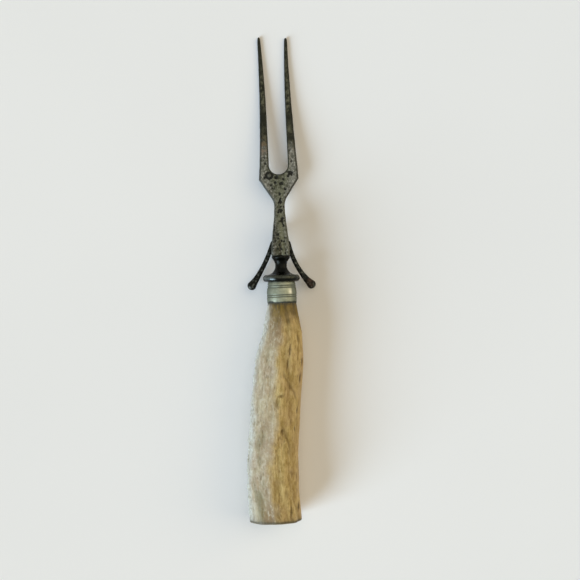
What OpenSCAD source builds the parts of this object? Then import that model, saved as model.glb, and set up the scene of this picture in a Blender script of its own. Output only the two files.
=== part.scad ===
// Two-tined carving fork with a stag antler handle and a folding guard.
// It lies on a table, tines along +Y, front face up, on its butt and on the bellies of the tines.
// Lengths along the fork are stations, measured from the seat where the flange meets the ferrule.

/* [Tines] */
// Station of the tip of the longer tine
reach = 140.3; // [125:0.1:160]
// Length worn off the other tine
tip_wear = 0.7; // [0:0.1:3]
// Station of the bottom of the crotch
crotch_at = 61; // [60:0.1:70]
// Gap between the tines above the crotch
tine_gap = 10.9; // [8:0.1:12]
// Station where the gap starts to open out
gap_opens_at = 92; // [80:1:115]
// Gap between the tines at their tips
tip_gap = 13.9; // [11:0.1:14.5]
// Width over the outsides of the tips
tip_spread = 16.9; // [16:0.1:20]
// Length of the rounding at the tips
tip_round = 1.6; // [0.8:0.1:3]
// Thickness of the tines at the crotch
tine_root_t = 4.2; // [3:0.1:5]
// Thickness of the tines at the tips
tine_tip_t = 1.5; // [1:0.1:2.5]
// Sideways lean of the tines in degrees
tine_lean = 1.4; // [0:0.05:3]
// Length above the crotch over which the tines stay straight
lean_free = 8; // [4:0.5:16]
// Distance from the tips to the lowest point of the tines
belly_back = 9; // [6:0.5:16]

/* [Shank] */
// Station of the foot of the shank
shank_at = 14.7; // [13:0.1:17]
// Width of the shank at its foot
shank_w = 10.4; // [10.3:0.1:12]
// Thickness of the shank at its foot
shank_t = 10; // [10:0.1:11]
// Station of the narrow neck
neck_at = 45.7; // [44:0.1:47]
// Width of the neck
neck_w = 6; // [5.8:0.1:8]
// Thickness of the neck
neck_t = 5; // [4.6:0.1:6]
// Half length of the soft bend where the neck flares
neck_fillet = 2.5; // [1:0.1:4]
// Distance from the crotch down to the shoulder's corners
shoulder_below = 2.7; // [1.5:0.1:4]
// How far one corner lies above that and the other below it
shoulder_skew = 0.3; // [0:0.1:0.9]
// Width over the shoulder
shoulder_w = 22.5; // [21:0.1:27]
// Width of the bevel along the edges
edge = 1; // [0.4:0.1:1.4]
// Station where the back starts to sweep down
sweep_at = 20; // [16:0.5:24]
// Radius of the bend from the shank into the sweep
sweep_r = 150; // [100:5:220]

/* [Bolster] */
// Diameter of the flange
flange_d = 20.6; // [18:0.1:24]
// Thickness of the flange
flange_t = 3.9; // [3.7:0.1:4.3]
// Radius of the flange's rounded lip
lip_r = 1.8; // [0.8:0.1:1.8]
// Diameter of the baluster's waist
waist_d = 6.5; // [6.2:0.1:8.5]
// Station of the waist
waist_at = 9.1; // [7.5:0.1:9.5]
// Radius of the hollow above the waist
hollow_r = 5.5; // [5.5:0.1:20]
// Diameter of the collar under the shank
collar_d = 10.3; // [9:0.1:10.3]

/* [Tang] */
// Width of the square tang at the flange
tang_w = 6; // [5:0.1:7]
// Width of the tang at its end
tang_end_w = 3; // [2:0.1:4]
// Length of the tang
tang_len = 80; // [50:1:100]
// Least resin around the tang's corners
resin_t = 0.35; // [0.2:0.05:0.6]
// Resin below the tang's end
resin_below = 3; // [1:0.5:8]

/* [Ferrule] */
// Length of the ferrule
ferrule_len = 12.1; // [11:0.1:16]
// Diameter at the flange
ferrule_seat_d = 15; // [14.4:0.1:16]
// Largest diameter
ferrule_belly_d = 16.9; // [16.4:0.1:18.4]
// Distance of the largest diameter from the seat
ferrule_belly_at = 7.6; // [5:0.1:9]
// Wall at the flange
ferrule_wall = 0.75; // [0.6:0.05:1]
// Distance of the first pair of grooves from the seat
first_groove_at = 2.6; // [2:0.1:4]
// Distance of the second pair of grooves from the seat
second_groove_at = 7.9; // [6.5:0.1:9]
// Distance between the two grooves of a pair
groove_pitch = 1.1; // [0.8:0.1:1.6]
// Diameter of the half-round grooves
groove_d = 0.7; // [0.4:0.1:0.8]
// Glue line between the ferrule and the antler
glue_gap = 0.05; // [0.02:0.01:0.1]

/* [Handle] */
// Length of the antler behind the ferrule
handle_len = 122.6; // [105:0.1:150]
// Step from the ferrule's edge down to the antler
neck_step = 0.1; // [0:0.05:0.5]
// Distance behind the ferrule where the antler stops swelling
swell_at = 30; // [20:1:45]
// Half length of the soft bend there
swell_soft = 8; // [2:1:15]
// Width of the antler there
swell_w = 27.8; // [24:0.1:31]
// Depth of the antler there
swell_h = 24.4; // [22:0.1:26]
// Width of the antler at the butt
butt_w = 30.2; // [26:0.1:34]
// Depth of the antler at the butt
butt_h = 26.4; // [25:0.1:30]
// Sideways bow of the antler
bow = 7.5; // [0:0.1:8]
// Distance behind the ferrule where the bow starts
bow_at = 16; // [8:1:30]
// Length over which the bow builds up
bow_len = 85; // [70:1:100]
// Depth of the furrows along the antler
furrow_depth = 0.9; // [0.3:0.1:1.4]
// Number of furrows round the antler
furrows = 9; // [5:1:11]
// Length of one sideways wave of the furrows
furrow_wave = 75; // [40:1:120]
// Length behind the ferrule over which the furrows run in
furrow_run_in = 14; // [6:1:30]
// Bevel round the butt
butt_bevel = 1; // [0.4:0.1:2]

/* [Guard] */
// Station of the guard's pin
pin_at = 27.5; // [26.5:0.1:29]
// Diameter of the pin
pin_d = 2; // [1.6:0.1:2.4]
// Height of the peened heads of the pin
pin_head = 0.25; // [0.1:0.05:0.5]
// Clearance between the pin and the guard's bore, on the radius
pin_play = 0.05; // [0.02:0.01:0.08]
// Diameter of the guard's knuckle
knuckle_d = 5.2; // [4.4:0.1:5.4]
// Depth of the flats on the knuckle where the spring rests
cam_flat = 0.15; // [0.05:0.05:0.3]
// Diameter of the hinge ears
ear_d = 5.8; // [5.4:0.1:6.4]
// Width over the two ears
ears_w = 7.6; // [7:0.1:8]
// Width of the slot between the ears
slot_w = 3.2; // [3:0.1:3.6]
// Clearance of the knuckle in the slot, on each side
slot_play = 0.12; // [0.08:0.01:0.2]
// Clearance of the guard from the back of the shank and from the ears
swing_gap = 0.35; // [0.3:0.05:0.6]
// Thickness of the guard's hub, between the knuckle and the yoke
hub_t = 2.2; // [1.8:0.1:2.3]
// Thickness of the guard's yoke and legs
leg_t = 2.4; // [2.3:0.1:3]
// Width of the legs at the yoke
leg_w = 2.6; // [2:0.1:3]
// Width of the legs at the toes
leg_toe_w = 4.6; // [3.4:0.1:4.6]
// Width over the yoke
yoke_w = 12; // [10:0.1:13]
// Radius of the bends from the yoke into the legs
bend_r = 2; // [1.8:0.1:3]
// Angle at which the right leg leaves its bend, seen from above
right_splay = 11; // [0:0.5:20]
// Angle at which the left leg leaves its bend
left_splay = 19; // [0:0.5:20]
// Distance of the toes from the rim of the flange, sideways
toe_out = 6.6; // [5:0.1:9]
// Distance of the toes behind the seat
toe_back = 1.8; // [0:0.1:4]
// Diameter of the rounded toes
toe_d = 5.1; // [4.7:0.1:5.6]

/* [Spring] */
// Thickness of the leaf spring
spring_t = 0.8; // [0.5:0.05:1]
// Width of the leaf spring
spring_w = 2.7; // [2.4:0.1:2.9]
// Length of the spring past the middle of the knuckle
spring_over = 1.5; // [0.5:0.1:2]
// Length of the spring from the knuckle to its fixed end
spring_len = 13; // [11:0.1:14]
// Distance of the rivet from the fixed end
rivet_in = 2.5; // [2:0.1:3]
// Clearance between the spring and the knuckle
spring_gap = 0.12; // [0.08:0.01:0.2]
// Room for the spring to lift
spring_lift = 0.45; // [0.3:0.05:0.7]
// Diameter of the rivet
rivet_d = 1.6; // [1.2:0.1:1.8]
// Diameter of the rivet's head
rivet_head_d = 2.4; // [2.2:0.1:2.8]
// Height of the rivet's head
rivet_head_t = 0.6; // [0.4:0.1:0.7]
// Length of the rivet in the shank
rivet_len = 2; // [1.2:0.1:2.4]

/* [Hidden] */
$fn = 72;

// Overlap of pieces of one solid, and of cutters past the faces that they cut
sunk = 2;
// Shapes of the long curves: 1 is straight, more is hollow
gap_power = 2;
side_power = 2;
thin_power = 1.2;
leg_power = 4;
// Second set of furrows, which has fewer of them and starts elsewhere round the antler
fewer_furrows = 4;
second_start = 50;
// Share of the first set in the depth, and how far it sways to the sides, in degrees
first_share = 0.65;
first_sway = 60;
// Turn of the rounding at the tips
tip_turn = 70;
// Numbers of stations and of points round a section
shank_steps = 14;
flare_steps = 6;
crotch_steps = 6;
tine_steps = 6;
taper_steps = 9;
tip_steps = 3;
shank_points = 10;
tine_points = 8;
antler_steps = 30;
antler_sides = 54;
bend_steps = 5;
leg_steps = 12;
leg_sides = 16;
barrel_sides = 360;

function mix(a, b, share) = a + (b - a) * share;
function clamp(share) = max(0, min(1, share));
// Rises from 0 at one to one past it, with a soft start of the given half length
function ramp(d, at, soft) =
    d < at - soft ? 0 : d > at + soft ? d - at : pow(d - at + soft, 2) / (4 * soft);

// Ferrule: a barrel whose arc goes through its seat and its belly
ferrule_bulge = (ferrule_belly_d - ferrule_seat_d) / 2;
ferrule_arc = (pow(ferrule_belly_at, 2) + pow(ferrule_bulge, 2)) / (2 * ferrule_bulge);
function ferrule_r(d) =
    ferrule_belly_d / 2 - ferrule_arc + sqrt(pow(ferrule_arc, 2) - pow(d - ferrule_belly_at, 2));
ferrule_bore = ferrule_seat_d - 2 * ferrule_wall;

// Tang hole in the antler, wide enough for the corners of the tang
tang_hole = tang_w * sqrt(2) + 2 * resin_t;
tang_hole_depth = tang_len + resin_below;

// Antler: half sizes, bow and furrows at a distance behind the ferrule
neck_r = ferrule_r(ferrule_len) - neck_step;
function antler_half(d, swell, butt) =
    neck_r + (swell / 2 - neck_r) / swell_at * (d - ramp(d, swell_at, swell_soft))
    + (butt - swell) / 2 / (handle_len - swell_at) * ramp(d, swell_at, swell_soft);
function antler_bow(d) = -bow * sin(90 * max(0, d - bow_at) / bow_len);
function furrow(turn, d) =
    let (wave = 360 * d / furrow_wave,
         first = sin(furrows / 2 * turn + first_sway * sin(wave)),
         second = sin((furrows - fewer_furrows) / 2 * turn + second_start - wave / 4))
        furrow_depth * clamp(d / furrow_run_in) * mix(pow(second, 2), pow(first, 2), first_share);
function antler_ring(d, inset) = [
    for (k = [0:antler_sides - 1])
        let (turn = 360 * k / antler_sides, cut = furrow(turn, d) + inset)
            [antler_bow(d) + (antler_half(d, swell_w, butt_w) - cut) * sin(turn),
             -ferrule_len - d,
             (antler_half(d, swell_h, butt_h) - cut) * cos(turn)]
];
antler_end = handle_len - butt_bevel;
antler_rings = concat(
    [antler_ring(handle_len + butt_bevel, 2 * butt_bevel)],
    [for (k = [antler_steps:-1:0]) antler_ring(antler_end * k / antler_steps, 0)],
    [antler_ring(-sunk, 0)]
);

// The fork lies on the lowest point of the antler, below the axis of the tang
axis_h = -min([for (ring = antler_rings) for (point = ring) point[2]]);

// Back of the shank and tines: level, then an arc down, then a long arc that is level at the belly
belly_at = reach - belly_back;
sweep_turn = 2 * atan((axis_h - shank_t / 2) / (belly_at - sweep_at));
tine_r = (belly_at - sweep_at) / sin(sweep_turn) - sweep_r;
sweep_end = sweep_at + sweep_r * sin(sweep_turn);
function back(s) =
    s < sweep_at ? -shank_t / 2
    : s < sweep_end ? -shank_t / 2 - sweep_r + sqrt(pow(sweep_r, 2) - pow(s - sweep_at, 2))
    : -axis_h + tine_r - sqrt(pow(tine_r, 2) - pow(s - belly_at, 2));
function thick(s) =
    s < neck_at ? mix(neck_t, shank_t, 0.5 + 0.5 * cos(180 * (s - shank_at) / (neck_at - shank_at)))
    : s < crotch_at ? mix(neck_t, tine_root_t, (s - neck_at) / (crotch_at - neck_at))
    : mix(tine_root_t, tine_tip_t, pow((s - crotch_at) / (reach - crotch_at), thin_power));

// Plan of the shank, shoulder and tines: half widths to the outer edge and to the gap
neck_start = neck_at - neck_fillet;
shoulder_at = crotch_at - shoulder_below;
flare = (shoulder_w - neck_w) / 2 / (shoulder_at - neck_at);
function outer(s) =
    s < neck_start
    ? mix(neck_w, shank_w, 0.5 + 0.5 * cos(180 * (s - shank_at) / (neck_start - shank_at))) / 2
    : s < shoulder_at ? neck_w / 2 + flare * ramp(s, neck_at, neck_fillet)
    : let (left = 1 - clamp((s - shoulder_at) / (reach - shoulder_at)))
        mix(tip_spread, shoulder_w, pow(left, side_power)) / 2;
crotch_end = crotch_at + tine_gap / 2;
function inner(s) =
    s < crotch_end ? sqrt(pow(tine_gap / 2, 2) - pow(crotch_end - s, 2))
    : mix(tine_gap, tip_gap, pow(clamp((s - gap_opens_at) / (reach - gap_opens_at)), gap_power)) / 2;
function lean(s) = -tan(tine_lean) * ramp(s, crotch_at + lean_free, lean_free);

// Section across the shank, clockwise from its top middle, looking towards the tines
function shank_ring(s) =
    let (right = outer(s - shoulder_skew), left = -outer(s + shoulder_skew),
         low = back(s), top = low + thick(s), cut = min(edge, right / 3, thick(s) / 3))
        [[0, s, top], [right - cut, s, top], [right, s, top - cut], [right, s, low + cut],
         [right - cut, s, low], [0, s, low], [left + cut, s, low], [left, s, low + cut],
         [left, s, top - cut], [left + cut, s, top]];
// Section across one tine, shrunk towards its middle at the tip, and the same mirrored
function tine_ring(s, skew, shrink = 1) =
    let (middle = (inner(s) + outer(s + skew)) / 2,
         w = (outer(s + skew) - inner(s)) / 2 * shrink,
         height = back(s) + thick(s) / 2,
         t = thick(s) / 2 * shrink,
         cut = min(edge * clamp(inner(s) / tine_gap * 2), w / 2, t / 2))
        [for (p = [[cut - w, t], [w - cut, t], [w, t - cut], [w, cut - t],
                   [w - cut, -t], [cut - w, -t], [-w, cut - t], [-w, t - cut]])
            [lean(s) + middle + p[0], s, height + p[1]]];
function mirrored(ring) = [
    for (k = [0:tine_points - 1])
        let (p = ring[(tine_points + 1 - k) % tine_points]) [2 * lean(p[1]) - p[0], p[1], p[2]]
];
function tine_rings(end, skew) =
    let (tip_start = end - tip_round) concat(
        [for (k = [1:crotch_steps])
            tine_ring(crotch_end - tine_gap / 2 * cos(90 * k / crotch_steps), skew)],
        [for (k = [1:tine_steps]) tine_ring(mix(crotch_end, gap_opens_at, k / tine_steps), skew)],
        [for (k = [1:taper_steps]) tine_ring(mix(gap_opens_at, tip_start, k / taper_steps), skew)],
        [for (k = [1:tip_steps])
            let (turn = tip_turn * k / tip_steps)
                tine_ring(mix(tip_start, end, sin(turn) / sin(tip_turn)), skew, cos(turn))]
    );
shank_stations = concat(
    [for (k = [0:shank_steps]) mix(shank_at, neck_start, k / shank_steps)],
    [for (k = [1:flare_steps]) mix(neck_start, neck_at + neck_fillet, k / flare_steps)],
    [shoulder_at - shoulder_skew, shoulder_at + shoulder_skew, crotch_at]
);

// Hinge: the pin lies behind the shank, just far enough for the hub to fold flat against it
pin_h = back(pin_at) - leg_t / 2 - swing_gap;
knuckle_w = slot_w - 2 * slot_play;
// Leaf spring: it runs along the back of the shank, just above the knuckle
spring_slope = atan((back(pin_at + spring_len) - back(pin_at)) / spring_len);
spring_h = pin_h + knuckle_d / 2 + spring_gap;
// Guard: one bar, bent into a yoke behind the hub and two legs that pass the flange in long arcs
yoke_back = ear_d / 2 + swing_gap + leg_w / 2;
yoke_at = pin_at - yoke_back;
bend = [(yoke_w - leg_w) / 2 - bend_r, yoke_at - bend_r];
toe = [flange_d / 2 + toe_out, -toe_back];
// Section of the bar where it heads away from the tines at an angle
function bar_ring(middle, heading, w) = [
    for (k = [0:leg_sides - 1])
        let (side = w / 2 * sin(360 * k / leg_sides))
            [middle[0] + side * cos(heading),
             middle[1] + side * sin(heading),
             leg_t / 2 * cos(360 * k / leg_sides)]
];
// Half of the bar, from the middle of the yoke through the bend to the toe
function bar_half(splay) =
    let (top = bend + bend_r * [cos(splay), sin(splay)],
         chord = toe - top,
         turn = 2 * (atan2(chord[0], -chord[1]) - splay),
         r = norm(chord) / 2 / sin(turn / 2))
        concat(
            [bar_ring([0, yoke_at], 90, leg_w)],
            [for (k = [0:bend_steps - 1])
                let (heading = mix(90, splay, k / bend_steps))
                    bar_ring(bend + bend_r * [cos(heading), sin(heading)], heading, leg_w)],
            [for (k = [0:leg_steps])
                let (heading = splay + turn * k / leg_steps)
                    bar_ring(top + r * [cos(splay) - cos(heading), sin(splay) - sin(heading)], heading,
                             mix(leg_w, leg_toe_w, pow(k / leg_steps, leg_power)))]
        );
left_half = [for (ring = bar_half(left_splay)) [for (p = ring) [-p[0], p[1], p[2]]]];
bar_rings = concat(
    reversed(bar_half(right_splay)),
    [for (k = [1:len(left_half) - 1]) left_half[k]]
);

// Middle of the whole fork, seen from above
antler_side = min([for (ring = antler_rings) for (point = ring) point[0]]);
axis_x = -(antler_side + toe[0] + toe_d / 2) / 2;
seat_y = (ferrule_len + handle_len - reach) / 2;

// Triangles between two closed rings of point numbers, where a number may stand twice in the lower ring
function band(low, high) = [
    for (k = [0:len(low) - 1])
        let (next = (k + 1) % len(low))
            each concat([[low[k], high[k], high[next]]],
                        low[k] == low[next] ? [] : [[low[k], high[next], low[next]]])
];
function numbers(first, count) = [for (k = [0:count - 1]) first + k];
function reversed(list) = [for (k = [len(list) - 1:-1:0]) list[k]];

// From the fork's own axes, with the seat as origin, to its place on the table
module placed() {
    translate([axis_x, seat_y, axis_h]) children();
}

// Closed solid through rings that all have the same number of points
module loft(rings) {
    n = len(rings[0]);
    last = len(rings) - 1;
    polyhedron(
        points = [for (ring = rings) each ring],
        faces = concat(
            [numbers(0, n)],
            [for (k = [0:last - 1]) each band(numbers(k * n, n), numbers((k + 1) * n, n))],
            [reversed(numbers(last * n, n))]
        )
    );
}

// Profile turned round the fork's axis: first its radius, then its station
module turned() {
    rotate([-90, 0, 0]) rotate_extrude() children();
}

module rod(from, to, d) {
    translate([0, from, 0]) rotate([-90, 0, 0]) cylinder(h = to - from, d = d);
}

// Side profile, first its station, then its height, extruded to both sides of the fork's axis
module across(w) {
    rotate([90, 0, 90]) linear_extrude(w, center = true) children();
}

// Tines, shoulder and shank as one skin: the shank's last section parts into the two tines
module head() {
    n = shank_points;
    m = tine_points;
    shank_rings = [for (s = shank_stations) shank_ring(s)];
    right_rings = tine_rings(reach - tip_wear, -shoulder_skew);
    left_rings = [for (ring = tine_rings(reach, shoulder_skew)) mirrored(ring)];
    count = len(right_rings);
    top = (len(shank_rings) - 1) * n;
    right = top + n;
    left = right + count * m;
    parting_right = [for (k = [0, 1, 2, 3, 4, 5, 5, 0]) top + k];
    parting_left = [for (k = [9, 0, 0, 5, 5, 6, 7, 8]) top + k];
    polyhedron(
        points = [for (ring = concat(shank_rings, right_rings, left_rings)) each ring],
        faces = concat(
            [numbers(0, n)],
            [for (k = [0:len(shank_rings) - 2]) each band(numbers(k * n, n), numbers((k + 1) * n, n))],
            band(parting_right, numbers(right, m)),
            band(parting_left, numbers(left, m)),
            [for (k = [0:count - 2]) for (first = [right, left])
                each band(numbers(first + k * m, m), numbers(first + (k + 1) * m, m))],
            [for (first = [right, left]) reversed(numbers(first + (count - 1) * m, m))]
        )
    );
}

module bolster_profile() {
    flange_r = flange_d / 2;
    waist_r = waist_d / 2;
    foot_r = waist_at - flange_t;
    square([flange_r - lip_r, flange_t]);
    translate([0, lip_r]) square([flange_r, flange_t - 2 * lip_r]);
    for (s = [lip_r, flange_t - lip_r]) translate([flange_r - lip_r, s]) circle(lip_r);
    difference() {
        square([min(waist_r + foot_r, flange_r - lip_r), waist_at]);
        translate([waist_r + foot_r, waist_at]) circle(foot_r);
    }
    difference() {
        translate([0, waist_at]) square([collar_d / 2, shank_at - waist_at]);
        translate([waist_r + hollow_r, waist_at]) circle(hollow_r);
    }
    square([waist_r, shank_at + sunk]);
}

// Square tang that tapers to its end, from just inside the flange
module tang() {
    root = tang_w + (tang_w - tang_end_w) / tang_len * sunk;
    profile = [[-root / 2, sunk], [root / 2, sunk],
               [tang_end_w / 2, -tang_len], [-tang_end_w / 2, -tang_len]];
    intersection() {
        linear_extrude(2 * tang_w, center = true) polygon(profile);
        across(2 * tang_w) polygon([for (p = profile) [p[1], p[0]]]);
    }
}

// Places its children at the pin, or on the spring's underside above the middle of the knuckle
module at_pin() {
    translate([0, pin_at, pin_h]) children();
}

module at_spring() {
    translate([0, pin_at, spring_h]) rotate([spring_slope, 0, 0]) children();
}

// Slot for the knuckle and groove for the spring, which is deeper where the spring lifts
module hinge_slot() {
    clear = ear_d / 2 + swing_gap;
    slot_top = knuckle_d / 2 + spring_gap + spring_t + spring_lift;
    groove_deep = shank_t / 2;
    at_pin() across(slot_w) translate([-clear, -clear]) square([2 * clear, clear + slot_top]);
    at_spring() across(slot_w) {
        translate([0, -groove_deep]) square([spring_len + swing_gap, groove_deep + spring_t]);
        square([spring_len - 2 * rivet_in, spring_t + spring_lift]);
    }
}

module rivet_hole(d, from, to) {
    at_spring() translate([0, spring_len - rivet_in, from]) cylinder(h = to - from, d = d);
}

// One steel forging: tines, shoulder, shank with its slotted hinge ears, turned bolster and tang
module fork_forging() {
    color("dimgray") placed() difference() {
        union() {
            head();
            turned() bolster_profile();
            tang();
            at_pin() across(ears_w) {
                circle(d = ear_d);
                translate([-ear_d / 2, 0]) square([ear_d, leg_t / 2 + swing_gap + sunk]);
            }
        }
        hinge_slot();
        at_pin() rotate([0, 90, 0]) cylinder(h = shank_w + sunk, d = pin_d, center = true);
        rivet_hole(rivet_d, 0, spring_t + rivet_len);
    }
}

// Guard: a knuckle with two flats and a hub, on a bent bar with rounded toes
module guard() {
    flat = knuckle_d / 2 - cam_flat;
    color("darkslategray") placed() difference() {
        union() {
            at_pin() across(knuckle_w) {
                intersection() {
                    circle(d = knuckle_d);
                    translate([-knuckle_d, -knuckle_d]) square(knuckle_d + flat);
                }
                translate([-yoke_back, -hub_t / 2]) square([yoke_back, hub_t]);
            }
            translate([0, 0, pin_h]) loft(bar_rings);
            for (side = [-1, 1]) translate([side * toe[0], toe[1], pin_h]) sphere(d = toe_d);
        }
        at_pin() rotate([0, 90, 0])
            cylinder(h = slot_w + sunk, d = pin_d + 2 * pin_play, center = true);
    }
}

module guard_pin() {
    color("gray") placed() at_pin() rotate([0, 90, 0])
        cylinder(h = ears_w + 2 * pin_head, d = pin_d, center = true);
}

module guard_spring() {
    color("slategray") placed() difference() {
        at_spring() across(spring_w)
            translate([-spring_over, 0]) square([spring_over + spring_len, spring_t]);
        rivet_hole(rivet_d, -sunk, spring_t + sunk);
    }
}

module spring_rivet() {
    color("gray") placed() {
        rivet_hole(rivet_d, -rivet_head_t, spring_t + rivet_len);
        rivet_hole(rivet_head_d, -rivet_head_t, 0);
    }
}

module ferrule() {
    color("silver") placed() turned() difference() {
        intersection() {
            translate([0, -ferrule_len]) square([ferrule_belly_d, ferrule_len]);
            translate([ferrule_belly_d / 2 - ferrule_arc, -ferrule_belly_at])
                circle(ferrule_arc, $fn = barrel_sides);
        }
        translate([0, -ferrule_len - sunk]) square([ferrule_bore / 2, ferrule_len + 2 * sunk]);
        for (at = [first_groove_at, second_groove_at], side = [-0.5, 0.5])
            let (d = at + side * groove_pitch) translate([ferrule_r(d), -d]) circle(d = groove_d);
    }
}

// Antler with a spigot in the ferrule, a flat sawn butt and a blind hole for the tang
module handle() {
    color("burlywood") placed() difference() {
        union() {
            difference() {
                loft(antler_rings);
                translate([-butt_w, -ferrule_len, -butt_w]) cube(2 * butt_w);
                translate([-butt_w, -ferrule_len - handle_len - 2 * butt_w, -butt_w]) cube(2 * butt_w);
            }
            rod(-ferrule_len - sunk, 0, ferrule_bore - 2 * glue_gap);
        }
        rod(-tang_hole_depth, sunk, tang_hole);
    }
}

module tang_cement() {
    color("saddlebrown") placed() difference() {
        rod(-tang_hole_depth, 0, tang_hole);
        tang();
    }
}

fork_forging();
guard();
guard_pin();
guard_spring();
spring_rivet();
ferrule();
handle();
tang_cement();
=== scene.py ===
"""Two-tined carving fork with a stag antler handle and a folding guard, lying on a pale table.

Shapes are worked out in the fork's own axes, in millimetres: x to the right, s along the fork from the
seat between flange and ferrule towards the tines, and z up from the axis of the tang. Angles round the
antler and the ferrule are in degrees from the top, positive to the right.
"""
import math

import bmesh
import bpy
import numpy as np
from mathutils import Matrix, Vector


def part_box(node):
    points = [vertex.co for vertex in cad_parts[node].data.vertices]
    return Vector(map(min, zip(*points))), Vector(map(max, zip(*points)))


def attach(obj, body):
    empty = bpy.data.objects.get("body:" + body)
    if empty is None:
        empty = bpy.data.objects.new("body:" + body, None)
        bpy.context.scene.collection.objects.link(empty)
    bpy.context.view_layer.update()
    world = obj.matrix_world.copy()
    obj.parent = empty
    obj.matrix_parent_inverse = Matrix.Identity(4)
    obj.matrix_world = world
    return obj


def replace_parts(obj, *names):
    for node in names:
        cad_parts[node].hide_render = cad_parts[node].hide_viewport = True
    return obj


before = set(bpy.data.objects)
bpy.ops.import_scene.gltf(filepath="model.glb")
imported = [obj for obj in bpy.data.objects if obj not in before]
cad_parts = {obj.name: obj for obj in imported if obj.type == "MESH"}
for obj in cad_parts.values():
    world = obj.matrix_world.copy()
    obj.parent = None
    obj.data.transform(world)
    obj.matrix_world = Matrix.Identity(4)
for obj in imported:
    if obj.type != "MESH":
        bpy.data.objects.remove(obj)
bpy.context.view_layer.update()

ferrule_low, ferrule_high = (np.array(corner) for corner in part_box("ferrule"))
ferrule_middle = (ferrule_low + ferrule_high) / 2
SEAT = np.array([ferrule_middle[0], ferrule_high[1], ferrule_middle[2]])
AXIS_H = 1000 * SEAT[2]

# Tines
REACH, TIP_WEAR, TIP_ROUND, BELLY_BACK = 140.3, 0.7, 1.6, 9
CROTCH_AT, CROTCH_BEVEL, TINE_GAP = 61, 0.7, 10.9
GAP_OPENS_AT, TIP_GAP, TIP_SPREAD = 92, 13.9, 16.9
TINE_ROOT_T, TINE_TIP_T, TAPER_POWER, TINE_LEAN, LEAN_FREE = 4.2, 1.5, 1.2, math.radians(1.4), 8
CROTCH_END = CROTCH_AT + TINE_GAP / 2
# Shank, neck and shoulder
SHANK_AT, SHANK_W, SHANK_T, SWEEP_AT, SWEEP_R = 14.7, 10.4, 10, 20, 150
NECK_AT, NECK_W, NECK_T, NECK_FILLET = 45.7, 6, 5, 2.5
SHOULDER_AT, SHOULDER_SKEW, SHOULDER_W = 58.3, 0.3, 22.5
# Bevels of the head: their usual size, and how many times a bevel goes at least into the steel's size
EDGE, EDGE_ROOM, BEVEL_POWER = 1, 3.2, 1.35
# Bolster and tang
FLANGE_R, FLANGE_T, LIP_R = 10.3, 3.9, 1.8
WAIST_R, WAIST_AT, HOLLOW_R, COLLAR_R, COLLAR_SHARP = 3.25, 9.1, 5.5, 5.15, 4
TANG_W, TANG_END_W, TANG_LEN, TANG_FREE = 6, 3, 80, 0.98
# Ferrule
FERRULE_LEN, FERRULE_BORE_R, FERRULE_COLS = 12.1, 6.75, 144
FERRULE_BELLY_R, FERRULE_BELLY_AT, FERRULE_ARC = 8.45, 7.6, 30.875
GROOVES, GROOVE_R, GROOVE_SINK = (2.05, 3.15, 7.35, 8.45), 0.35, 0.75
# Antler
HANDLE_LEN, NECK_R, SWELL_AT, SWELL_SOFT, SKIN_COLS = 122.6, 8.02, 30, 8, 260
SWELL_W, SWELL_H, BUTT_W, BUTT_H, BUTT_BEVEL = 27.8, 24.4, 30.2, 26.4, 1
BOW, BOW_AT, BOW_LEN = 7.5, 16, 85
FURROW_DEPTH, FURROWS, FURROW_WAVE, FURROW_RUN_IN = 0.9, 9, 75, 14
TABLE_FREE = 0.02
# Cracks in it: start and end behind the ferrule, then distances and angles on the way
CRACKS = (
    ((36, 56), ([36, 41, 50, 56], [11, 17, 46, 58])),
    ((66, 123), ([66, 70, 81, 95, 102, 123], [18, 24, 40, 36, 42, 36])),
)
CRACK_HALF, CRACK_RUN_IN = 3.5, 4
# Single dark nicks: distance behind the ferrule, angle, half length, half width, strength
NICKS = (
    (26, 24, 3.4, 0.7, 0.9), (34, 21, 3.6, 0.6, 0.8), (33, 70, 2.6, 1.1, 1), (42, 68, 2.4, 1.1, 1),
    (51.4, 12, 0.9, 1.6, 0.8), (56, 3, 2.4, 1.5, 0.6), (60, 64, 1.8, 1.0, 1), (71, 20, 1.7, 1.0, 1),
    (70, 57, 1.6, 0.8, 0.9), (83, 36, 1.8, 0.7, 0.5), (95, 48, 2.2, 1.3, 0.45), (97, 66, 2.2, 0.9, 0.6),
    (106, 30, 2.6, 1.4, 0.4), (114, 72, 2.6, 1.1, 1), (115.5, 40, 3.4, 0.6, 0.9), (117, 10, 2.4, 1.2, 0.45),
    (47, 33, 1.6, 0.6, 0.5), (66, 42, 1.6, 0.6, 0.5), (20, 52, 2.0, 0.7, 0.6),
)
# Guard and its hinge
PIN_AT, PIN_R, PIN_HEAD, PEENED = 27.5, 1, 0.25, 1.12
KNUCKLE_R, KNUCKLE_W, KNUCKLE_FREE, CAM_FLAT = 2.6, 2.96, 0.12, 0.15
EAR_R, EAR_TOP, EARS_W, SLOT_W, SWING_GAP = 2.9, 4.4, 7.6, 3.2, 0.35
HUB_T, HUB_FREE, LEG_T, LEG_W = 2.2, 0.99, 2.4, 2.6
TOE_R, TOE_FLAT, TOE_W_POWER, TOE_T_POWER = 2.55, 0.6, 5.5, 7
YOKE_W, BEND_R, RIGHT_SPLAY, LEFT_SPLAY = 12, 2, math.radians(11), math.radians(19)
TOE = np.array([FLANGE_R + 6.6, -1.8])
YOKE_AT = -EAR_R - SWING_GAP - LEG_W / 2
# Its spring and rivet
SPRING_T, SPRING_W, SPRING_LEN, SPRING_TAIL, SPRING_SOFT = 0.8, 2.7, 13, 1.5, 0.15
SPRING_LIFT, RIVET_IN, RIVET_DEEP = 0.45, 2.5, 2
RIVET_R, RIVET_HEAD_R, RIVET_HEAD_T = 0.8, 1.2, 0.6


def blend(first, second, share):
    """Straight mix: the first where the share is 0, the second where it is 1."""
    return first + (second - first) * share


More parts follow.
